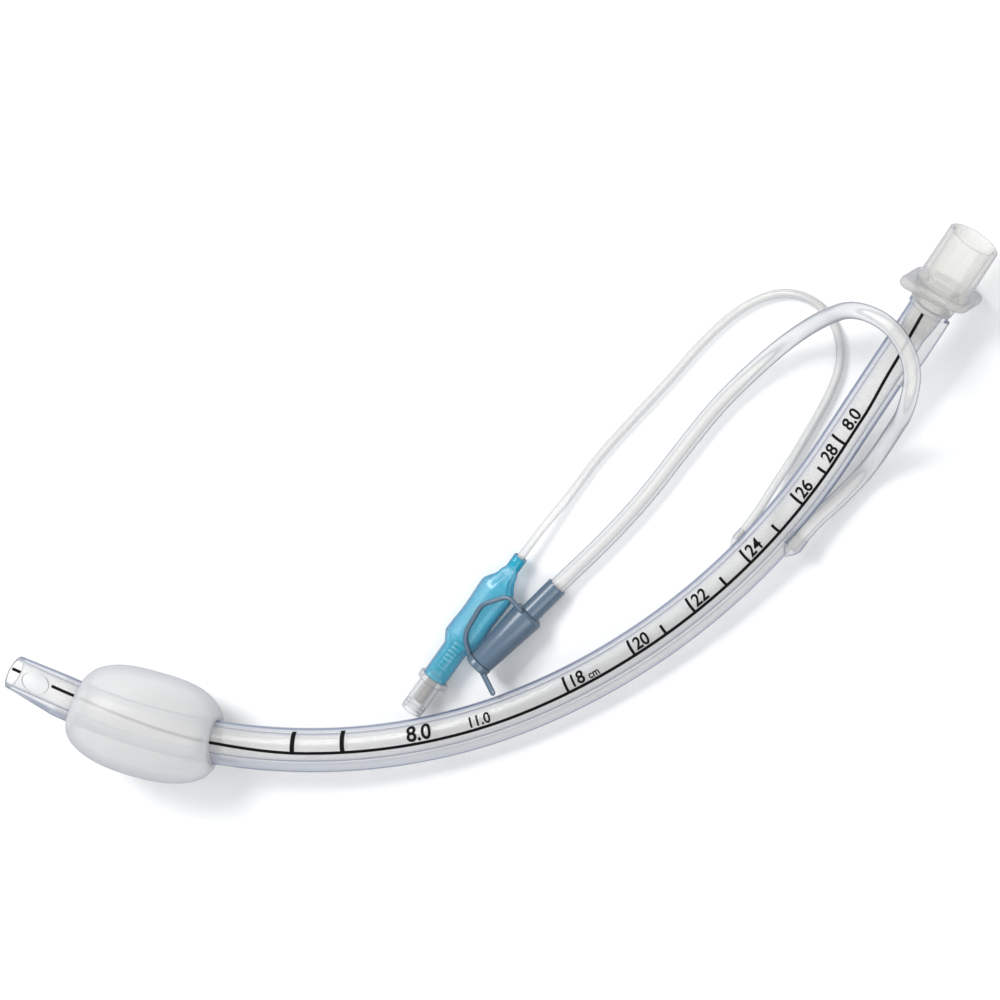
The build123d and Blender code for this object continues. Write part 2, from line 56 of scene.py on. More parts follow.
# Camera, from high up and a little from the breathing end, as in the photo
view = {"tilt": 24.0, "turn": 4.0, "away": 4.0, "aim": (-3.3, 1.71, 8.0), "lens": 521.3}
tilt = math.radians(view["tilt"])
turn = math.radians(view["turn"])
towards = Vector((math.sin(tilt) * math.cos(turn), math.sin(tilt) * math.sin(turn), math.cos(tilt)))
right = (Vector((1, 0, 0)) - towards * towards.x).normalized()
camera = bpy.data.objects.new("camera", bpy.data.cameras.new("camera"))
scene.collection.objects.link(camera)
axes = Matrix((right, towards.cross(right), towards)).transposed().to_4x4()
camera.matrix_world = Matrix.Translation(Vector(view["aim"]) * mm + towards * view["away"]) @ axes
camera.data.lens = view["lens"]
camera.data.sensor_width = 36
camera.data.clip_end = 20
scene.camera = camera
scene.view_settings.view_transform = "Standard"


# Finishes
# A material whose node tree is filled in by build(tree, shader)
def finish(name, build):
    material = bpy.data.materials.new(name)
    material.use_nodes = True
    tree = material.node_tree
    shader = tree.nodes["Principled BSDF"]
    build(tree, shader)
    return material


# A ramp over source with (place, value) stops
def ramp(tree, source, stops, colour=False):
    node = tree.nodes.new("ShaderNodeValToRGB")
    node.color_ramp.elements[0].position = stops[0][0]
    node.color_ramp.elements[1].position = stops[-1][0]
    for place, value in stops[1:-1]:
        node.color_ramp.elements.new(place)
    for element, (place, value) in zip(node.color_ramp.elements, stops):
        element.position = place
        element.color = (*value, 1) if colour else (value, value, value, 1)
    tree.links.new(source, node.inputs[0])
    return node.outputs[0]


# Noise over the object's own coordinates, size features to the metre
def noise(tree, size, detail=3.0):
    place = tree.nodes.new("ShaderNodeTexCoord").outputs["Object"]
    node = tree.nodes.new("ShaderNodeTexNoise")
    node.inputs["Scale"].default_value = size
    node.inputs["Detail"].default_value = detail
    tree.links.new(place, node.inputs["Vector"])
    return node.outputs[0]


def bump(tree, shader, source, height, strength=0.4):
    node = tree.nodes.new("ShaderNodeBump")
    node.inputs["Strength"].default_value = strength
    node.inputs["Distance"].default_value = height
    tree.links.new(source, node.inputs["Height"])
    tree.links.new(node.outputs[0], shader.inputs["Normal"])


def facing(tree, blend=0.5):
    node = tree.nodes.new("ShaderNodeLayerWeight")
    node.inputs["Blend"].default_value = blend
    return node.outputs["Facing"]


# Shared by every see-through finish
clearValues = {"specular": 0.45, "grainSize": 260, "grainStrength": 0.25}


# A see-through plastic: (place, colour) and (place, opacity) stops from face on to edge on
def clear(colours, opacity, rough=0.12, grain=0.00004, coat=0.3):
    def build(tree, shader):
        edge = facing(tree)
        tree.links.new(ramp(tree, edge, colours, colour=True), shader.inputs["Base Color"])
        tree.links.new(ramp(tree, edge, opacity), shader.inputs["Alpha"])
        shader.inputs["Roughness"].default_value = rough
        shader.inputs["Coat Weight"].default_value = coat
        shader.inputs["Specular IOR Level"].default_value = clearValues["specular"]
        bump(tree, shader, noise(tree, clearValues["grainSize"]), grain, clearValues["grainStrength"])
    return build


# An opaque finish with a faint unevenness in colour and surface
def plain(colour, rough=0.5, metal=0.0, grain=0.00003, size=900, spread=0.06, gloss=0.5):
    def build(tree, shader):
        soft = noise(tree, size)
        darker = tuple(part * (1 - spread) for part in colour)
        stops = [(0.3, darker), (0.7, colour)]
        tree.links.new(ramp(tree, soft, stops, colour=True), shader.inputs["Base Color"])
        shader.inputs["Roughness"].default_value = rough
        shader.inputs["Metallic"].default_value = metal
        shader.inputs["Specular IOR Level"].default_value = gloss
        bump(tree, shader, soft, grain)
    return build


warmWhite = (0.78, 0.77, 0.74)
paleGrey = (0.66, 0.68, 0.71)
darkEdge = (0.045, 0.065, 0.14)
vinyl = finish("clear vinyl", clear(
    [(0.0, warmWhite), (0.34, (0.76, 0.76, 0.755)), (0.48, (0.54, 0.58, 0.66)),
     (0.6, (0.13, 0.17, 0.29)), (0.88, darkEdge)],
    [(0.0, 0.24), (0.36, 0.33), (0.5, 0.52), (0.62, 0.88), (0.9, 0.98)]))
lineVinyl = finish("line vinyl", clear(
    [(0.0, (0.82, 0.815, 0.78)), (0.13, (0.80, 0.795, 0.76)), (0.20, (0.46, 0.47, 0.49)),
     (0.29, (0.84, 0.84, 0.83)), (0.5, paleGrey), (0.72, (0.10, 0.11, 0.15))],
    [(0.0, 0.45), (0.13, 0.48), (0.20, 0.75), (0.3, 0.5), (0.55, 0.72), (0.8, 0.98)]))
film = finish("frosted film", clear(
    [(0.0, (0.78, 0.775, 0.76)), (0.4, (0.71, 0.71, 0.71)), (0.7, (0.52, 0.53, 0.56)),
     (0.95, (0.24, 0.26, 0.32))],
    [(0.0, 0.55), (0.5, 0.70), (0.9, 0.97)], rough=0.36, grain=0.0003, coat=0.08))
hard = finish("clear hard plastic", clear(
    [(0.0, (0.80, 0.785, 0.73)), (0.4, (0.69, 0.68, 0.64)), (0.7, (0.36, 0.37, 0.39)),
     (0.92, (0.09, 0.10, 0.14))],
    [(0.0, 0.24), (0.5, 0.44), (0.85, 0.93)], rough=0.07, coat=0.5))
luerClear = finish("clear luer plastic", clear(
    [(0.0, (0.78, 0.79, 0.79)), (0.4, (0.62, 0.65, 0.68)), (0.7, (0.30, 0.33, 0.38)),
     (0.92, (0.08, 0.09, 0.13))],
    [(0.0, 0.16), (0.45, 0.30), (0.7, 0.62), (0.9, 0.95)], rough=0.07, coat=0.5))
caseClear = finish("clear case plastic", clear(
    [(0.0, (0.70, 0.78, 0.82)), (0.6, (0.40, 0.50, 0.56)), (0.92, (0.08, 0.12, 0.16))],
    [(0.0, 0.08), (0.6, 0.20), (0.92, 0.7)], rough=0.08, coat=0.4))
tealFilm = finish("teal film", clear(
    [(0.0, (0.0, 0.54, 0.76)), (0.3, (0.0, 0.40, 0.62)), (0.6, (0.0, 0.17, 0.33)),
     (0.9, (0.0, 0.05, 0.13))],
    [(0.0, 0.42), (0.3, 0.60), (0.6, 0.84), (0.95, 1.0)], rough=0.14, grain=0.00012, coat=0.5))
mould = finish("grey blue mould", clear(
    [(0.0, (0.115, 0.175, 0.245)), (0.5, (0.075, 0.12, 0.18)), (0.9, (0.015, 0.028, 0.055))],
    [(0.0, 0.86), (0.6, 0.93), (0.95, 1.0)], rough=0.24, coat=0.25))
stemGrey = finish("stem grey", plain((0.30, 0.26, 0.22), 0.45))
sealRed = finish("seal red", plain((0.42, 0.10, 0.06), 0.55))
wireSteel = finish("wire steel", plain((0.10, 0.11, 0.12), 0.3, metal=1.0))
blackInk = finish("black ink", plain((0.004, 0.004, 0.005), 0.6, spread=0.3, gloss=0.08))
print("finishes made")


# Making meshes
def makeMesh(name, verts, faces, materials, smooth=True):
    data = bpy.data.meshes.new(name)
    data.from_pydata([tuple(v) for v in verts], [], faces)
    data.update()
    for material in materials if isinstance(materials, list) else [materials]:
        data.materials.append(material)
    for face in data.polygons:
        face.use_smooth = smooth
    obj = bpy.data.objects.new(name, data)
    scene.collection.objects.link(obj)
    return obj


def outwardFaces(obj):
    work = bmesh.new()
    work.from_mesh(obj.data)
    bmesh.ops.recalc_face_normals(work, faces=work.faces)
    work.to_mesh(obj.data)
    work.free()


# Smooth shading that stays sharp at edges turned by more than degrees
def softEdges(obj, degrees=35):
    obj.data.set_sharp_from_angle(angle=math.radians(degrees))
    return obj


# Quads between rings of count points each; closed joins the last ring to the first
def ringFaces(rings, count, closed=False):
    faces = []
    for i in range(rings if closed else rings - 1):
        for j in range(count):
            a, b = i * count, (i + 1) % rings * count
            k = (j + 1) % count
            faces.append((a + j, a + k, b + k, b + j))
    return faces


# The same quads with a face over each end
def cappedFaces(rings, count):
    last = (rings - 1) * count
    caps = [tuple(range(count)), tuple(last + k for k in reversed(range(count)))]
    return ringFaces(rings, count) + caps


# A point on a unit circle, squared off as power goes down to 0.5
def squaredCircle(angle, power=0.5):
    x, y = math.cos(angle), math.sin(angle)
    return math.copysign(abs(x) ** power, x), math.copysign(abs(y) ** power, y)


def evaluatedMesh(obj):
    bpy.context.view_layer.update()
    evaluated = obj.evaluated_get(bpy.context.evaluated_depsgraph_get())
    return bpy.data.meshes.new_from_object(evaluated)


# Two directions square to way, the second as steep as can be
def acrossFrame(way):
    side = way.cross(up)
    side = side.normalized() if side.length > 1e-3 else Vector((1, 0, 0))
    return side, side.cross(way).normalized()


# A turned piece: outline is (along, radius) in mm, and closes on itself
def lathe(name, origin, way, outline, material, segments=96):
    way = way.normalized()
    side, high = acrossFrame(way)
    verts = []
    for along, radius in outline:
        for step in range(segments):
            angle = math.tau * step / segments
            spoke = side * math.cos(angle) + high * math.sin(angle)
            verts.append((origin + way * along + spoke * max(radius, 0.0005)) * mm)
    obj = makeMesh(name, verts, ringFaces(len(outline), segments, closed=True), material)
    outwardFaces(obj)
    return softEdges(obj)


# The closed outline with each real corner rounded off by up to radius
def rounded(outline, radius, steps=4):
    out = []
    count = len(outline)
    for i, corner in enumerate(outline):
        here = Vector(corner)
        before, after = Vector(outline[i - 1]), Vector(outline[(i + 1) % count])
        back, on = before - here, after - here
        reach = min(radius, back.length * 0.45, on.length * 0.45)
        straight = back.length < 1e-6 or on.length < 1e-6 or abs(back.angle(on) - math.pi) < 0.12
        if straight or corner[1] < 0.01:
            out.append(corner)
            continue
        start, end = here + back.normalized() * reach, here + on.normalized() * reach
        for step in range(steps + 1):
            t = step / steps
            out.append(tuple(start * (1 - t) ** 2 + here * 2 * t * (1 - t) + end * t * t))
    return out


# The other meshes become part of target, in target's materials
def join(target, *others):
    work = bmesh.new()
    work.from_mesh(target.data)
    for other in others:
        work.from_mesh(other.data)
        bpy.data.objects.remove(other)
    work.to_mesh(target.data)
    work.free()
    return target


# Where the soft lines run in mm, each through the same places as its solid
inflationRoute = [
    (67.4234, -9.2494, 8.1106), (72.3, -2.69, 5.6), (76.1, 4.31, 3.2), (81.3, 12.31, 1.5),
    (86.9, 20.91, 1.2), (92.5, 29.71, 1.2), (96.6, 39.11, 1.2), (95.6, 48.51, 1.2),
    (89.5, 55.91, 1.2), (79.9, 59.11, 1.2), (68.1, 55.31, 1.2), (56.3, 46.31, 1.2),
    (45.7, 35.11, 1.2), (34.1, 23.91, 1.2), (23.3, 13.31, 1.2), (14.9, 2.71, 1.3),
    (5.8445, -7.9024, 3.5672), (-0.5833, -16.0763, 3.7399)]
suctionRoute = [
    (83.1003, -11.3812, 6.1798), (89.1, -4.29, 5.6), (96.3, 1.91, 3.4), (105.4, 10.61, 3.4),
    (117.0, 20.71, 14.1), (124.5, 26.51, 22.7), (128.3, 38.41, 25.6), (122.6, 49.91, 27.2),
    (110.6, 54.71, 25.6), (98.3, 52.01, 16.5), (84.4, 46.21, 7.4), (71.9, 37.71, 3.8),
    (60.3, 27.91, 2.5), (49.3, 15.51, 2.5), (38.3, 2.51, 2.5), (26.0, -9.6, 2.5),
    (12.9063, -20.8032, 2.5984), (5.8748, -27.7372, 4.1725)]
lines = {
    "inflation": {"diameter": 2.3, "length": 197.4, "node": "inflation_line"},
    "suction": {"diameter": 4.8, "length": 241.0, "node": "suction_line"},
}

# Main tube: the line its axis follows, in mm
axis = {
    "start": (-146.7291, -45.7666, 22.1728), "heading": (0.900613, -0.402701, -0.163488),
    "normal": (0.095539, -0.183528, 0.978361),
    "runs": [("line", 15.0), ("bend", 177.0, 142.7226), ("bend", 216.0, 117.6216), ("line", 50.4)],
}
tube = {
    "radius": 5.5, "bore": 4.0, "lobe": 2.2, "lobeOut": 4.8, "tipRadius": 4.95, "cut": 8.0,
    "branch": 246.69, "lobeBack": 302.34, "lobeEnd": 324.34, "flare": 0.6, "flareLength": 9.0,
    "flareEase": 0.4, "tipLength": 15.0, "tipLobeOut": 2.85, "around": 72, "step": 1.5, "stepGap": 0.02,
}
bendNormal = Vector(axis["normal"]).normalized()


def turned(vector, angle):
    return Matrix.Rotation(angle, 3, bendNormal) @ vector


def layRuns():
    place, way, done, runs = Vector(axis["start"]), Vector(axis["heading"]).normalized(), 0.0, []
    for run in axis["runs"]:
        length = run[-1]
        runs.append((done, length, run, place.copy(), way.copy()))
        if run[0] == "line":
            place = place + way * length
        else:
            centre = place + bendNormal.cross(way) * run[1]
            place = centre + turned(place - centre, length / run[1])
            way = turned(way, length / run[1])
        done += length
    return runs, done


axisRuns, tubeLength = layRuns()


# (place, heading, outside of the bend) at a distance in mm from the tip
def onAxis(distance):
    for start, length, run, place, way in axisRuns:
        if distance <= start + length or run is axisRuns[-1][2]:
            break
    part = distance - start
    if run[0] == "line":
        place = place + way * part
    else:
        centre = place + bendNormal.cross(way) * run[1]
        place = centre + turned(place - centre, part / run[1])
        way = turned(way, part / run[1])
    return place, way, way.cross(bendNormal)


# How much the end is widened at a distance from the tip
def flareAt(distance):
    past = max(0.0, distance - (tubeLength - tube["flareLength"]))
    return tube["flare"] * min(1.0, past / (tube["flareLength"] * tube["flareEase"]))


# The tube's outside radius at an angle from the bend's normal towards its outside
def reachAt(distance, degrees):
    radius, lobe, out = tube["radius"], tube["lobe"], tube["lobeOut"]
    if distance < tube["tipLength"]:
        share = distance / tube["tipLength"]
        radius = tube["tipRadius"] + (radius - tube["tipRadius"]) * share
        out = tube["tipLobeOut"] + (out - tube["tipLobeOut"]) * share
    elif tube["branch"] < distance < tube["lobeBack"] or distance > tube["lobeEnd"]:
        return radius + flareAt(distance)
    angle = abs((math.radians(90 - degrees) + math.pi) % math.tau - math.pi)
    lean = math.acos(min(1.0, (radius - lobe) / out))
    onLobe = math.atan2(lobe * math.sin(lean), out + lobe * math.cos(lean))
    if angle >= lean:
        reach = radius
    elif angle <= onLobe:
        reach = out * math.cos(angle) + math.sqrt(max(0, lobe ** 2 - (out * math.sin(angle)) ** 2))
    else:
        reach = radius / math.cos(angle - lean)
    return reach


# Straight out from the tube's axis, at an angle from the bend's normal
def spokeAt(outside, angle):
    return bendNormal * math.cos(angle) + outside * math.sin(angle)


# A place on the tube's outside, in mm; radius replaces the outside radius
def onTube(distance, degrees, lift=0.0, radius=None):
    place, way, outside = onAxis(distance)
    spoke = spokeAt(outside, math.radians(degrees))
    return place + spoke * ((reachAt(distance, degrees) if radius is None else radius) + lift)


# Rings of points round the axis at the stations
def sweepAlong(stations, reach, count):
    verts = []
    for distance in stations:
        for step in range(count):
            degrees = 360.0 * step / count
            verts.append(onTube(distance, degrees, radius=reach(distance, degrees)))
    return verts


def boreAt(distance, degrees):  # round, so the same at every angle
    return tube["bore"] + flareAt(distance)


def stationsBetween(start, end, step):
    count = max(1, round((end - start) / step))
    return [start + (end - start) * i / count for i in range(count + 1)]


# The tip's cut leans back by a few degrees from its upper side
def slantTip(verts):
    place, way = onAxis(0)[:2]
    lean = math.radians(tube["cut"])
    cut = way * math.cos(lean) + bendNormal * math.sin(lean)
    foot = place + bendNormal * tube["tipRadius"]
    out = []
    for vert in verts:
        short = (vert - foot).dot(cut)
        if short < 0:
            vert = vert - way * (short / cut.dot(way))
        out.append(vert)
    return out


def buildTube():
    gap = tube["stepGap"]  # the lobe ends in a step this long
    parts = [(0, tube["branch"]), (tube["branch"] + gap, tube["lobeBack"] - gap),
             (tube["lobeBack"], tube["lobeEnd"]), (tube["lobeEnd"] + gap, tubeLength)]
    stations = []
    for start, end in parts:
        stations += stationsBetween(start, end, tube["step"])
    count = tube["around"]
    outer = sweepAlong(stations, reachAt, count)
    inner = sweepAlong(list(reversed(stations)), boreAt, count)
    verts = slantTip(outer + inner)
    faces = ringFaces(2 * len(stations), count, closed=True)
    shell = makeMesh("tube_shell", [v * mm for v in verts], faces, vinyl)
    outwardFaces(shell)
    return shell


# A prism through the tube's wall, long side along the tube
def cutterAt(distance, degrees, halfLong, halfWide, inside, outsideReach, square=False):
    place, way, outside = onAxis(distance)
    spoke = spokeAt(outside, math.radians(degrees))
    across = spoke.cross(way)
    count = 40
    verts = []
    for depth in (inside, outsideReach):
        for step in range(count):
            x, y = squaredCircle(math.tau * step / count, 0.5 if square else 1.0)
            verts.append((place + spoke * depth + way * (x * halfLong) + across * (y * halfWide)) * mm)
    cutter = makeMesh("cutter", verts, cappedFaces(2, count), vinyl)
    outwardFaces(cutter)
    return cutter


def cutOut(obj, cutters):
    for cutter in cutters:
        modifier = obj.modifiers.new("cut", "BOOLEAN")
        modifier.operation = "DIFFERENCE"
        modifier.solver = "EXACT"
        modifier.object = cutter
    data = evaluatedMesh(obj)
    obj.modifiers.clear()
    obj.data = data
    for cutter in cutters:
        bpy.data.objects.remove(cutter)


# Side openings: distance from the tip, angle, half length and half width, then the cut's depths
openings = {
    "eye": (8.4, -16.0, 4.0, 2.9, 0.0, 9.0), "port": (66.0, 90.0, 3.0, 1.0, 5.4, 9.0),
}
shell = buildTube()
cutOut(shell, [cutterAt(*openings["eye"]), cutterAt(*openings["port"], square=True)])


# A narrow channel inside the tube's wall, outBy from the axis towards the outside of the bend
def channel(name, outBy, radius, start, end):
    stations = stationsBetween(start, end, channels["step"])
    count = 12
    verts = []
    for distance in stations:
        place, way, outside = onAxis(distance)
        for step in range(count):
            spoke = spokeAt(outside, math.tau * step / count)
            verts.append((place + outside * outBy + spoke * radius) * mm)
    return makeMesh(name, verts, ringFaces(len(stations), count), vinyl)


def sleeve(name, start, way, inner, outer, length, material):
    return lathe(name, start, way, rounded(
        [(0.0, inner), (length, inner), (length, outer), (0.0, outer)], 0.12), material, 48)


# A wall that swells out of the tube round a line's root and thins down on to the line
def rootSleeve(name, start, way, inner, swell, length):
    return lathe(name, start, way, rounded([
        (-length * 0.8, 0.0), (-length * 0.3, swell * 0.68), (length * 0.12, swell),
        (length, inner + 0.1), (length, inner), (0.0, inner), (0.0, 0.0)], 0.6), vinyl, 48)


# Line's radius with a little play, widest radius and length of each root
roots = {"branch": (2.42, 2.74, 4.2), "notch": (1.16, 1.38, 3.4)}
channels = {"suction": (5.5, 0.9), "inflation": (-4.75, 0.4), "notch": 236.9, "step": 3.0}


def rootOn(name, route, sizes):
    first, second = Vector(route[0]), Vector(route[1])
    return rootSleeve(name, first, second - first, *sizes)


branchSleeve = rootOn("branch_sleeve", suctionRoute, roots["branch"])
notchSleeve = rootOn("notch_sleeve", inflationRoute, roots["notch"])
join(
    shell, channel("suction_channel", *channels["suction"], tube["tipLength"], tube["branch"]),
    channel("inflation_channel", *channels["inflation"], tube["tipLength"], channels["notch"]),
    branchSleeve, notchSleeve)
softEdges(shell, 40)
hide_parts("main_tube")
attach(shell, "tube")
print("tube made")

# Print on the tube: the marker line, bands, depth ticks and plain numbers
# Where the marker line lies: (distance from the tip in mm, degrees on the tube)
lineTurns = [
    (0, -28), (22, -28), (62, -6), (87, 3.5), (175, 13), (272, 24), (291, 22.5), (306, 12.5), (326, 0)]
marks = {
    "lineWidth": 0.85, "lift": 0.06, "tickLong": 4.8, "tickShort": 3.0, "tickWidth": 0.85,
    "numberSize": 5.0, "bands": (86.4, 101.2), "bandWidth": 1.35, "bandTop": -66.0,
    "long": ((170.8, "18"), (193.2, "20"), (214.9, "22"), (236.6, "24"), (259.2, "26"), (280.4, "28")),
    "short": (204.3, 227.0, 248.8, 270.4), "numberGap": 1.3, "numberBefore": -7.2, "clear": 0.8,
    "lineStarts": ((0.8, 3.4, 0.6), (13.2, tubeLength - 1.6, 1.5)),
    "words": (
        ("bore_number", "8.0", 120.6, 0.9, 6.2), ("outside_number", "11.0", 139.2, 0.9, 4.2),
        ("unit", "cm", 178.2, 0.7, 3.0), ("end_number", "8.0", 284.4, 0.8, 5.0)),
}


def lineTurn(distance):
    for (a, first), (b, second) in zip(lineTurns, lineTurns[1:]):
        if distance <= b:
            share = (distance - a) / (b - a)
            share = share * share * (3 - 2 * share) * 0.5 + share * 0.5
            return first + (second - first) * share
    return lineTurns[-1][1]


def degreesOf(width, distance, degrees):
    return math.degrees(width / reachAt(distance, degrees))


# A printed strip: edges(distance) gives its two angles on the tube
def strip(name, stations, edges, material=blackInk):
    verts, faces, across = [], [], 5
    for distance in stations:
        low, high = edges(distance)
        for step in range(across):
            degrees = low + (high - low) * step / (across - 1)
            verts.append(onTube(distance, degrees, marks["lift"]) * mm)
    for i in range(len(stations) - 1):
        for j in range(across - 1):
            a = i * across + j
            faces.append((a, a + 1, a + across + 1, a + across))
    return makeMesh(name, verts, faces, material)


def lineEdges(distance):
    middle = lineTurn(distance)
    half = degreesOf(marks["lineWidth"] / 2, distance, middle)
    return middle - half, middle + half


def tick(name, distance, length):
    half = marks["tickWidth"] / 2
    foot = lineTurn(distance)
    reach = degreesOf(length, distance, foot)
    return strip(name, [distance - half, distance, distance + half], lambda s: (foot - reach, foot + 2))


# A bar from the marker line over the upper side of the tube
def band(name, distance):
    half = marks["bandWidth"] / 2
    steps = 24
    verts = []
    for place in (distance - half, distance + half):
        foot = lineTurn(distance)
        for step in range(steps):
            degrees = foot + (marks["bandTop"] - foot) * step / (steps - 1)
            verts.append(onTube(place, degrees, marks["lift"]) * mm)
    faces = [(j, j + 1, steps + j + 1, steps + j) for j in range(steps - 1)]
    return makeMesh(name, verts, faces, blackInk)


# Plain characters along the tube, their feet towards the marker line
def written(name, text, distance, below, size):
    curve = bpy.data.curves.new(name, "FONT")
    curve.body = text
    curve.size = size
    curve.offset = size * 0.022
    source = bpy.data.objects.new(name, curve)
    scene.collection.objects.link(source)
    data = evaluatedMesh(source)
    bpy.data.objects.remove(source)
    work = bmesh.new()
    work.from_mesh(data)
    bmesh.ops.triangulate(work, faces=work.faces)
    for _ in range(3):  # short edges, so that the characters bend with the tube
        longEdges = [edge for edge in work.edges if edge.calc_length() > 0.5]
        if longEdges:
            bmesh.ops.subdivide_edges(work, edges=longEdges, cuts=1)
            bmesh.ops.triangulate(work, faces=work.faces)
    for vert in work.verts:
        place = distance + vert.co.x
        foot = lineTurn(place)
        angle = foot - degreesOf(below + vert.co.y, place, foot)
        vert.co = onTube(place, angle, marks["lift"]) * mm
    bmesh.ops.recalc_face_normals(work, faces=work.faces)
    work.to_mesh(data)
    work.free()
    data.materials.append(blackInk)
    obj = bpy.data.objects.new(name, data)
    scene.collection.objects.link(obj)
    return obj


atTip, pastEye = marks["lineStarts"]
printed = [
    strip("marker_line_tip", stationsBetween(*atTip), lineEdges),
    strip("marker_line", stationsBetween(*pastEye), lineEdges)]
for place in marks["bands"]:
    printed.append(band(f"band_{place}", place))
for place, label in marks["long"]:
    printed.append(tick(f"tick_{label}", place, marks["tickLong"]))
    start = place + marks["numberBefore" if label == "28" else "numberGap"]  # 28 stands before its tick
    printed.append(written(f"number_{label}", label, start, marks["clear"], marks["numberSize"]))
for place in marks["short"]:
    printed.append(tick(f"tick_{place}", place, marks["tickShort"]))
for name, text, place, below, size in marks["words"]:
    printed.append(written(name, text, place, below, size))
for piece in printed:
    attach(piece, "tube")
print("print made")

# Cuff: a blown film with soft lengthwise folds that gather at its collars
cuffShape = {
    "start": 20.6, "length": 41.4, "radius": 15.05, "collar": 6.75, "shift": 0.75, "full": 2.6,
    "folds": 17, "foldDepth": 0.04, "bandLength": 1.6, "bandLift": (0.05, 0.42),
}


def buildCuff():
    rings, count = 72, 180
    verts = []
    for index in range(rings + 1):
        share = -math.cos(math.pi * index / rings)
        swell = math.sqrt(max(0.0, 1 - abs(share) ** cuffShape["full"]))
        distance = cuffShape["start"] + cuffShape["length"] * (share + 1) / 2
        place, way, outside = onAxis(distance)
        gather = 4 * swell * (1 - swell) * 1.3
        for step in range(count):
            angle = math.tau * step / count
            fold = 0.5 + 0.5 * math.sin(cuffShape["folds"] * angle + 1.7 * math.sin(3 * angle))
            fold += 0.35 * (0.5 + 0.5 * math.sin(41 * angle + 2 * share))
            radius = cuffShape["collar"] + (cuffShape["radius"] - cuffShape["collar"]) * swell
            radius -= cuffShape["foldDepth"] * gather * fold
            spoke = spokeAt(outside, angle)
            middle = place + outside * (cuffShape["shift"] * (1 - swell))
            verts.append((middle + spoke * radius) * mm)
    shape = makeMesh("cuff_film", verts, ringFaces(rings + 1, count), film)
    outwardFaces(shape)
    return shape


def collarRing(name, start, end):
    verts, count = [], 72
    low, high = cuffShape["bandLift"]
    for distance, lift in ((start, low), (start, high), (end, high), (end, low)):
        for step in range(count):
            verts.append(onTube(distance, 360.0 * step / count, lift) * mm)
    ring = makeMesh(name, verts, ringFaces(4, count, closed=True), film)
    outwardFaces(ring)
    return softEdges(ring)


cuff = buildCuff()
cuffEnd = cuffShape["start"] + cuffShape["length"]
join(
    cuff, collarRing("near_collar", cuffShape["start"], cuffShape["start"] + cuffShape["bandLength"]),
    collarRing("far_collar", cuffEnd - cuffShape["bandLength"], cuffEnd))
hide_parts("cuff")
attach(cuff, "tube")
print("cuff made")

# Breathing connector
cone = {
    "flange": (131.6584, 59.0115, 14.6428), "way": (0.610243, 0.787301, 0.088096),
    "ear": (0.340733, -0.160447, -0.926368), "half": 1.3, "length": 16.0, "rootRadius": 7.75,
    "endRadius": 7.55, "wall": 1.2, "hubRadius": 6.8, "hubLength": 3.8, "stemLength": 11.0,
    "stemBore": 3.7, "earOut": 13.0, "earRadius": 2.6, "middleRadius": 9.3, "edgeRound": 0.9,
    "stemTip": 3.98, "stemFlare": 4.58, "flareFrom": 9.0, "flareTo": 5.4, "tipBore": 3.6,
}
coneWay = Vector(cone["way"]).normalized()
flangeAt = Vector(cone["flange"])
backFace = -cone["half"]
frontFace = cone["half"]
coneEnd = frontFace + cone["length"]
boreRoot = cone["rootRadius"] - cone["wall"] - 0.4
boreEnd = cone["endRadius"] - cone["wall"]
stemEnd = backFace - cone["hubLength"] - cone["stemLength"]
hubFace = backFace - cone["hubLength"]
barrel = lathe("connector_barrel", flangeAt, coneWay, rounded([
    (stemEnd, cone["tipBore"]), (stemEnd, cone["stemTip"]),
    (hubFace - cone["flareFrom"], cone["stemTip"]),
    (hubFace - cone["flareTo"], cone["stemFlare"]), (hubFace, cone["stemFlare"]),
    (hubFace, cone["hubRadius"] - 0.4), (backFace, cone["hubRadius"]),
    (backFace, cone["rootRadius"]), (frontFace, cone["rootRadius"] + 0.5),
    (frontFace + 0.9, cone["rootRadius"] - 0.03),
    (coneEnd, cone["endRadius"]), (coneEnd, boreEnd), (frontFace + 2, boreRoot),
    (backFace, cone["stemBore"]), (stemEnd + 3, cone["stemBore"])], 0.3), hard)


# Outline of the flange: a middle circle and two ear circles, joined
def earOutline(inset, count=14):
    out, ear, big = cone["earOut"], cone["earRadius"] - inset, cone["middleRadius"] - inset
    lean = math.acos((big - ear) / out)
    points = []
    for side in (0, math.pi):
        for step in range(count + 1):
            angle = side - lean + 2 * lean * step / count
            points.append((math.cos(side) * out + ear * math.cos(angle), ear * math.sin(angle)))
        for step in range(1, count):
            angle = side + lean + (math.pi - 2 * lean) * step / count
            points.append((big * math.cos(angle), big * math.sin(angle)))
    return points


def buildFlange():
    earWay = Vector(cone["ear"]).normalized()
    other = coneWay.cross(earWay)
    edge, steps = cone["edgeRound"], 6
    lower = []
    for step in range(steps, -1, -1):
        angle = math.pi / 2 * step / steps
        lower.append((-cone["half"] + edge * (1 - math.sin(angle)), edge * (1 - math.cos(angle))))
    levels = lower + [(-along, inset) for along, inset in reversed(lower)]
    verts = []
    count = 0
    for along, inset in levels:
        points = earOutline(inset)
        count = len(points)
        for x, y in points:
            verts.append((flangeAt + coneWay * along + earWay * x + other * y) * mm)
    radius = cone["stemBore"] + 0.8  # hidden inside the barrel's wall
    for along in (cone["half"], -cone["half"]):
        for x, y in earOutline(edge):
            angle = math.atan2(y, x)
            spoke = earWay * math.cos(angle) + other * math.sin(angle)
            verts.append((flangeAt + coneWay * along + spoke * radius) * mm)
    flange = makeMesh("flange", verts, ringFaces(len(levels) + 2, count, closed=True), hard)
    outwardFaces(flange)
    return softEdges(flange)


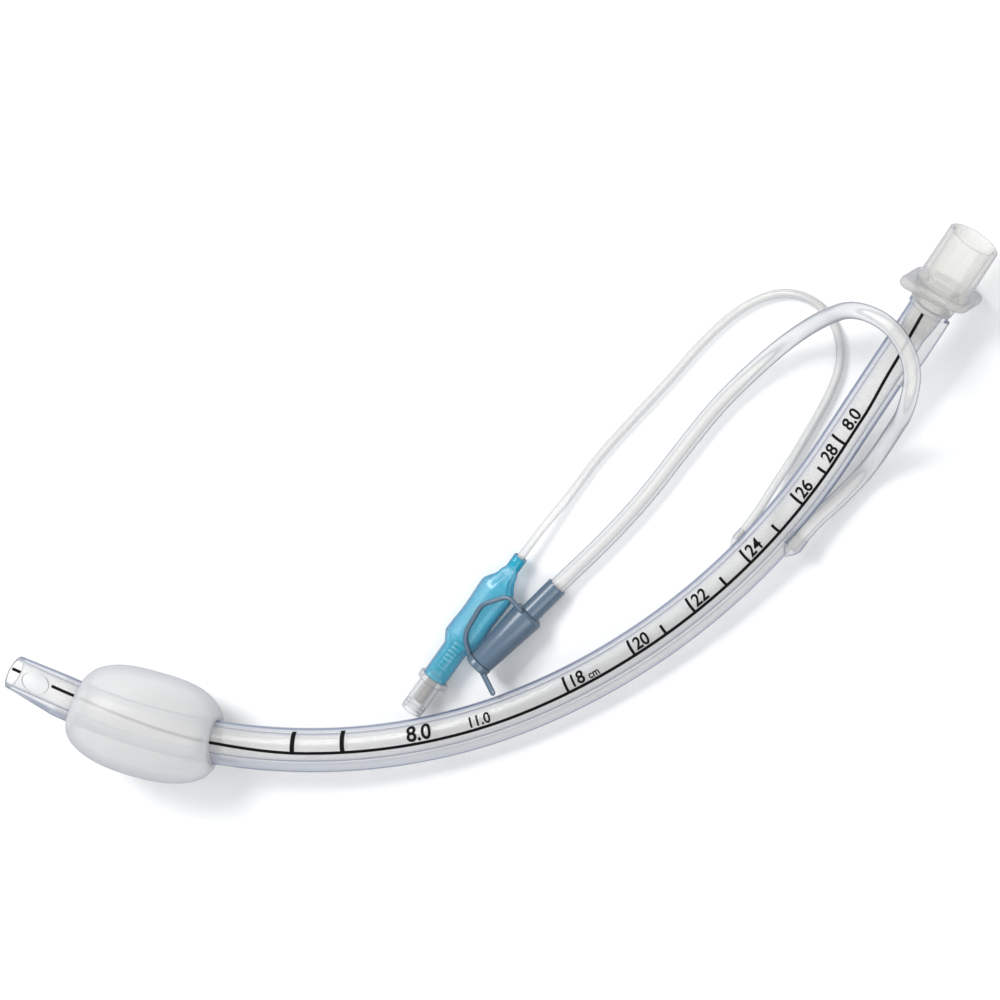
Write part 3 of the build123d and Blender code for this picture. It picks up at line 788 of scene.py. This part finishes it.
flange = buildFlange()
join(barrel, flange)
softEdges(barrel)
barrel.name = "breathing_connector_shape"
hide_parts("breathing_connector")
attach(barrel, "tube")
print("connector made")

# Soft lines
def softLine(name, route, values):
    curve = bpy.data.curves.new(name, "CURVE")
    curve.dimensions = "3D"
    curve.resolution_u = 12
    curve.bevel_depth = values["diameter"] / 2 * mm * 0.997
    curve.bevel_resolution = 7
    curve.use_fill_caps = True
    spline = curve.splines.new("NURBS")
    spline.points.add(len(route) - 1)
    for point, place in zip(spline.points, route):
        point.co = (*[part * mm for part in place], 1)
    spline.order_u = 3
    spline.use_endpoint_u = True
    curve.materials.append(lineVinyl)
    obj = bpy.data.objects.new(name, curve)
    scene.collection.objects.link(obj)
    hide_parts(values["node"])
    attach(obj, "tube")


# Check valve
luerMouth = Vector((-32.6, -56.79, 4.6))
valveWay = Vector((0.618062, 0.785954, -0.016605)).normalized()
valve = {
    "luerRadius": 3.2, "luerLength": 10.0, "flangeRadius": 4.4, "flangeEnd": 11.8, "seat": 12.6,
    "floor": 8.6, "mouthRadius": 2.15, "floorRadius": 1.892, "stem": 1.6, "housingRadius": 3.1,
    "housingBore": 2.4, "housingEnd": 25.0, "vent": 1.2, "headFace": 13.28, "headBack": 14.18,
    "headRadius": 2.15, "springRadius": 1.9, "wire": 0.5, "turns": 7, "stemTip": 3.5,
    "sealFace": 12.68, "pinRoot": 1.4, "pinTip": 1.0, "pinLength": 2.5, "endWall": 0.7, "play": 0.08,
    "grooveFrom": 3.2, "groove": 0.35,
}
luer = lathe("luer_body", luerMouth, valveWay, rounded([
    (0.0, valve["mouthRadius"]), (0.0, valve["luerRadius"]),
    (valve["luerLength"], valve["luerRadius"]),
    (valve["luerLength"], valve["flangeRadius"]), (valve["flangeEnd"], valve["flangeRadius"]),
    (valve["flangeEnd"], valve["housingBore"] - 0.02), (valve["seat"], valve["housingBore"] - 0.02),
    (valve["seat"], valve["stem"] + valve["play"]), (valve["floor"], valve["stem"] + valve["play"]),
    (valve["floor"], valve["floorRadius"])], 0.25), luerClear)
thread = []
for index in range(2):
    along = 0.9 + 1.1 * index
    thread.append(lathe(f"mouth_ring_{index}", luerMouth, valveWay, rounded([
        (along, 3.0), (along + 0.15, 3.195), (along + 0.45, 3.195), (along + 0.6, 3.0)], 0.1), luerClear))
join(luer, *thread)
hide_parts("valve_luer")
housing = lathe("housing_case", luerMouth, valveWay, rounded([
    (valve["flangeEnd"], valve["housingBore"]), (valve["flangeEnd"], valve["housingRadius"] - 0.01),
    (valve["housingEnd"], valve["housingRadius"] - 0.01), (valve["housingEnd"], valve["vent"]),
    (valve["housingEnd"] - valve["endWall"], valve["vent"]),
    (valve["housingEnd"] - valve["endWall"], valve["housingBore"])], 0.15), caseClear)
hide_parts("valve_housing")
plunger = lathe("plunger", luerMouth, valveWay, rounded([
    (valve["stemTip"], 0.0), (valve["stemTip"], valve["stem"]), (valve["headFace"], valve["stem"]),
    (valve["headFace"], valve["headRadius"]), (valve["headBack"], valve["headRadius"]),
    (valve["headBack"], valve["pinRoot"]), (valve["headBack"] + valve["pinLength"], valve["pinTip"]),
    (valve["headBack"] + valve["pinLength"], 0.0)], 0.2), stemGrey)


def grooveCutter(index):
    angle = math.tau * index / 4
    side, high = acrossFrame(valveWay)
    spoke = side * math.cos(angle) + high * math.sin(angle)
    tangent = valveWay.cross(spoke)
    verts = []
    half = valve["groove"]
    for along in (valve["grooveFrom"], valve["seat"]):
        for x, y in ((-half, -half), (half, -half), (half, half), (-half, half)):
            middle = luerMouth + valveWay * along + spoke * (valve["stem"] + y)
            verts.append((middle + tangent * x) * mm)
    cutter = makeMesh("cutter", verts, cappedFaces(2, 4), stemGrey, smooth=False)
    outwardFaces(cutter)
    return cutter


cutOut(plunger, [grooveCutter(index) for index in range(4)])
softEdges(plunger)
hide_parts("valve_plunger")
seal = lathe("seal_ring", luerMouth, valveWay, rounded([
    (valve["sealFace"], valve["stem"]), (valve["sealFace"], valve["headRadius"]),
    (valve["headFace"], valve["headRadius"]), (valve["headFace"], valve["stem"])], 0.2), sealRed, 64)
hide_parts("valve_seal")


def buildSpring():
    side, high = acrossFrame(valveWay)
    start = valve["headBack"] + valve["wire"] / 2 + valve["play"]
    end = valve["housingEnd"] - valve["endWall"] - valve["wire"] / 2 - valve["play"]
    around, along = 10, 28 * valve["turns"]
    verts = []
    for index in range(along + 1):
        share = index / along
        angle = math.tau * valve["turns"] * share
        spoke = side * math.cos(angle) + high * math.sin(angle)
        middle = luerMouth + valveWay * (start + (end - start) * share)
        for step in range(around):
            tip = math.tau * step / around
            rim = spoke * math.cos(tip) + valveWay * math.sin(tip)
            place = middle + spoke * valve["springRadius"] + rim * (valve["wire"] / 2)
            verts.append(place * mm)
    spring = makeMesh("return_spring", verts, cappedFaces(along + 1, around), wireSteel)
    outwardFaces(spring)
    return spring, end, end - start


spring, springEnd, springLength = buildSpring()
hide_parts("valve_spring")
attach(spring, "tube")
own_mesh(spring)
for piece in (luer, housing):
    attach(piece, "tube")
for piece in (plunger, seal):
    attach(piece, "plunger")
print("valve made")

# Pilot balloon: (along, half width, half height) from the end of its socket
pillow = {
    "socket": 11.8, "start": 21.4, "length": 28.7, "neckEnd": 54.2, "neckStart": 52.0,
    "socketRadius": 3.6, "neck": 2.0, "foldDepth": 0.096, "folds": 11, "inside": 0.995,
    "stations": [(0, 3.6, 3.6), (3.73, 5.6, 3.8), (12.34, 5.2, 3.8), (20.95, 5.49, 3.57),
                 (26.4, 2.8, 2.51), (28.7, 2.0, 2.0)],
}


# Half width and half height, eased between stations without overshoot
def smoothBetween(stations, along):
    for (a, w0, h0), (b, w1, h1) in zip(stations, stations[1:]):
        if along <= b:
            share = (along - a) / (b - a)
            share = share * share * (3 - 2 * share)
            return w0 + (w1 - w0) * share, h0 + (h1 - h0) * share
    return stations[-1][1:]


def buildPillow():
    side, high = acrossFrame(valveWay)
    count = 96
    wide, thin = pillow["socketRadius"], pillow["neck"]
    places = [(pillow["socket"], wide, wide), (pillow["socket"] + 4, wide, wide)]
    for along in stationsBetween(0, pillow["length"], 0.4):
        wide, tall = smoothBetween(pillow["stations"], along)
        places.append((pillow["start"] + along, wide, tall))
    places += [
        (pillow["neckStart"], thin, thin), (pillow["neckEnd"] - 0.2, thin, thin),
        (pillow["neckEnd"], thin - 0.2, thin - 0.2)]
    verts = []
    for along, wide, tall in places:
        share = (along - pillow["start"]) / pillow["length"]
        fold = 0.0
        if 0 < share < 1:  # gathered beside the socket and, more, before the neck
            nearSocket = math.exp(-((share - 0.06) / 0.06) ** 2)
            nearNeck = 1.6 * math.exp(-((share - 0.88) / 0.09) ** 2)
            fold = pillow["foldDepth"] * (nearSocket + nearNeck)
        for step in range(count):
            angle = math.tau * step / count
            wave = 0.5 + 0.5 * math.sin(pillow["folds"] * angle + 1.3 * math.sin(2 * angle))
            pull = 1 - fold * wave
            offset = side * (wide * math.cos(angle) * pull) + high * (tall * math.sin(angle) * pull)
            verts.append((luerMouth + valveWay * along + offset * pillow["inside"]) * mm)
    shape = makeMesh("balloon_film", verts, ringFaces(len(places), count), tealFilm)
    outwardFaces(shape)
    return shape


balloon = buildPillow()
seamRing = sleeve("neck_band", luerMouth + valveWay * 50.4, valveWay, 1.2, 1.98, 3.6, tealFilm)
join(balloon, seamRing)
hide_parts("pilot_balloon")
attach(balloon, "tube")
print("pilot balloon made")

# Suction connector and its tethered cap
stubEnd = Vector((11.5, -22.19, 2.9132))
suctionWay = Vector((-0.70315, -0.6934, 0.157407)).normalized()
fitting = {
    "stub": 2.95, "stubLength": 10.8, "shoulder": 4.65, "end": 30.2, "endRadius": 3.6,
    "socket": 2.4, "socketDepth": 8.0, "bore": 1.5, "plug": 2.28, "capFace": 30.25,
    "capRadius": 3.7, "capThick": 2.1, "plugRadius": 2.2, "plugLength": 5.0, "plugTip": 1.9,
    "plugEase": 0.6, "hollowRim": 2.6, "hollow": 2.3, "hollowDepth": 0.3,
}
body = lathe("suction_fitting", stubEnd, suctionWay, rounded([
    (0.0, fitting["socket"]), (0.0, fitting["stub"]), (fitting["stubLength"], fitting["stub"]),
    (fitting["stubLength"], fitting["shoulder"] - 1.0),
    (fitting["stubLength"] + 0.1, fitting["shoulder"] - 0.7),
    (fitting["stubLength"] + 0.9, fitting["shoulder"] - 0.03),
    (fitting["end"], fitting["endRadius"]), (fitting["end"], fitting["plug"]),
    (fitting["end"] - 6, fitting["plug"]), (fitting["end"] - 9, fitting["bore"]),
    (fitting["socketDepth"], fitting["bore"]), (fitting["socketDepth"], fitting["socket"])],
    0.3), mould)
grips = []
for index in range(3):
    along = 1.4 + 1.5 * index
    grips.append(lathe(f"grip_{index}", stubEnd, suctionWay, rounded([
        (along, 2.7), (along + 0.1, 2.945), (along + 0.5, 2.945), (along + 0.6, 2.7)], 0.1), mould))
join(body, *grips)
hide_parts("suction_connector")
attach(body, "tube")
capFace = fitting["capFace"]
capEnd = capFace + fitting["capThick"]
plugEnd = capFace - fitting["plugLength"]
hollowFloor = capEnd - fitting["hollowDepth"]
cap = lathe("cap", stubEnd, suctionWay, rounded([
    (plugEnd, 0.0), (plugEnd, fitting["plugTip"]), (plugEnd + fitting["plugEase"], fitting["plugRadius"]),
    (capFace, fitting["plugRadius"]), (capFace, fitting["capRadius"]),
    (capEnd, fitting["capRadius"]), (capEnd, fitting["hollowRim"]),
    (hollowFloor, fitting["hollow"]), (hollowFloor, 0.0)], 0.4), mould)


# A small bar with rounded long edges
def slab(name, start, way, wideWay, length, width, thickness, material):
    thickWay = way.cross(wideWay).normalized()
    verts, count = [], 16
    stations = [0.0, 0.1 * length, 0.5 * length, 0.9 * length, 0.97 * length, length]
    for along in stations:
        ease = 1.0 if along < 0.96 * length else (0.9 if along < length else 0.6)
        for step in range(count):
            x, y = squaredCircle(math.tau * step / count)
            offset = wideWay * (x * width / 2) + thickWay * (y * thickness / 2)
            verts.append((start + way * along + offset * ease) * mm)
    obj = makeMesh(name, verts, cappedFaces(len(stations), count), material)
    outwardFaces(obj)
    return softEdges(obj, 50)


tabShape = {
    "turn": 308.0, "rise": 22.0, "along": 1.05, "root": 2.4, "length": 8.68, "width": 1.48, "thick": 0.98,
}
tabTurn, tabRise = math.radians(tabShape["turn"]), math.radians(tabShape["rise"])
tabWay = Vector((
    math.cos(tabTurn) * math.cos(tabRise), math.sin(tabTurn) * math.cos(tabRise), math.sin(tabRise)))
tabSide = Vector((-math.sin(tabTurn), math.cos(tabTurn), 0))
tabStart = stubEnd + suctionWay * (capFace + tabShape["along"]) + tabWay * tabShape["root"]
tab = slab(
    "pull_tab", tabStart, tabWay, tabSide, tabShape["length"], tabShape["width"], tabShape["thick"], mould)
join(cap, tab)
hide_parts("suction_cap")
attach(cap, "cap")

# Strap, level all the way
strap = {
    "route": [(2.7, -28.49), (-0.7, -24.89), (-8.9, -27.29), (-14.5, -35.89), (-12.3, -41.89)],
    "radii": [3.0, 5.0, 6.5], "height": 8.9, "wide": 1.5, "thick": 1.2, "root": 1.0,
}


# Places along a flat route whose corners are arcs of the given radii
def roundedRoute(points, radii):
    corners = [Vector(point) for point in points]
    out = [corners[0]]
    for before, corner, after, radius in zip(corners, corners[1:], corners[2:], radii):
        back, on = (before - corner).normalized(), (after - corner).normalized()
        half = back.angle(on) / 2
        reach = radius / math.tan(half)
        middle = corner + (back + on).normalized() * (radius / math.sin(half))
        start, end = corner + back * reach, corner + on * reach
        first, last = start - middle, end - middle
        sweep = first.angle_signed(last)
        for step in range(13):
            share = step / 12
            turnBy = Matrix.Rotation(-sweep * share, 2)
            out.append(middle + turnBy @ first)
    out.append(corners[-1])
    return out


def buildStrap():
    places = roundedRoute(strap["route"], strap["radii"])
    middles = []
    for place, following in zip(places, places[1:]):
        for step in range(4):
            middles.append(place.lerp(following, step / 4))
    middles.append(places[-1])
    root = (places[0] - places[1]).normalized() * strap["root"]
    middles.insert(0, places[0] + root)  # sunk a little into the shoulder
    verts, count = [], 12
    for index, place in enumerate(middles):
        before = middles[max(0, index - 1)]
        after = middles[min(len(middles) - 1, index + 1)]
        way = (after - before).normalized()
        side = Vector((-way.y, way.x, 0))
        for step in range(count):
            x, y = squaredCircle(math.tau * step / count)
            offset = side * (x * strap["thick"] / 2) + up * (y * strap["wide"] / 2)
            verts.append((Vector((place.x, place.y, strap["height"])) + offset) * mm)
    obj = makeMesh("cap_strap", verts, cappedFaces(len(middles), count), mould)
    outwardFaces(obj)
    return softEdges(obj, 50)


tether = buildStrap()
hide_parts("cap_tether")
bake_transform(tether)
print("suction fitting made")

softLine(
    "inflation_tubing", inflationRoute, lines["inflation"])
softLine("suction_tubing", suctionRoute, lines["suction"])
print("soft lines made")

# White flat table, a white background seen by the camera, and soft light from all round
stageValues = {
    "size": 6.0, "drop": 0.0004, "table": (0.93, 0.93, 0.93), "tableRough": 0.9,
    "room": (0.95, 0.97, 1.0, 1), "roomStrength": 0.62, "sky": 1.0,
    "lamps": (("key light", (-0.7, 0.9, 1.6), 26.0, 0.9), ("fill light", (1.1, -0.8, 1.3), 12.0, 1.2)),
}


def makeStage():
    half = stageValues["size"]
    corners = ((-half, -half), (half, -half), (half, half), (-half, half))
    verts = [(x, y, -stageValues["drop"]) for x, y in corners]
    white = finish("white table", plain(stageValues["table"], stageValues["tableRough"], spread=0.0))
    floor = makeMesh("floor", verts, [(0, 1, 2, 3)], white)
    world = bpy.data.worlds.new("white room")
    scene.world = world
    world.use_nodes = True
    tree = world.node_tree
    room = tree.nodes["Background"]
    room.inputs["Color"].default_value = stageValues["room"]
    room.inputs["Strength"].default_value = stageValues["roomStrength"]
    seen = tree.nodes.new("ShaderNodeBackground")
    seen.inputs["Color"].default_value = (1, 1, 1, 1)
    seen.inputs["Strength"].default_value = stageValues["sky"]
    ray = tree.nodes.new("ShaderNodeLightPath")
    mixer = tree.nodes.new("ShaderNodeMixShader")
    tree.links.new(ray.outputs["Is Camera Ray"], mixer.inputs[0])
    tree.links.new(room.outputs[0], mixer.inputs[1])
    tree.links.new(seen.outputs[0], mixer.inputs[2])
    tree.links.new(mixer.outputs[0], tree.nodes["World Output"].inputs[0])
    for name, place, energy, size in stageValues["lamps"]:
        lamp = bpy.data.lights.new(name, "AREA")
        lamp.energy = energy
        lamp.size = size
        holder = bpy.data.objects.new(name, lamp)
        scene.collection.objects.link(holder)
        holder.location = place
        holder.rotation_euler = (-Vector(place)).to_track_quat("-Z", "Y").to_euler()


makeStage()
print("scene finished")
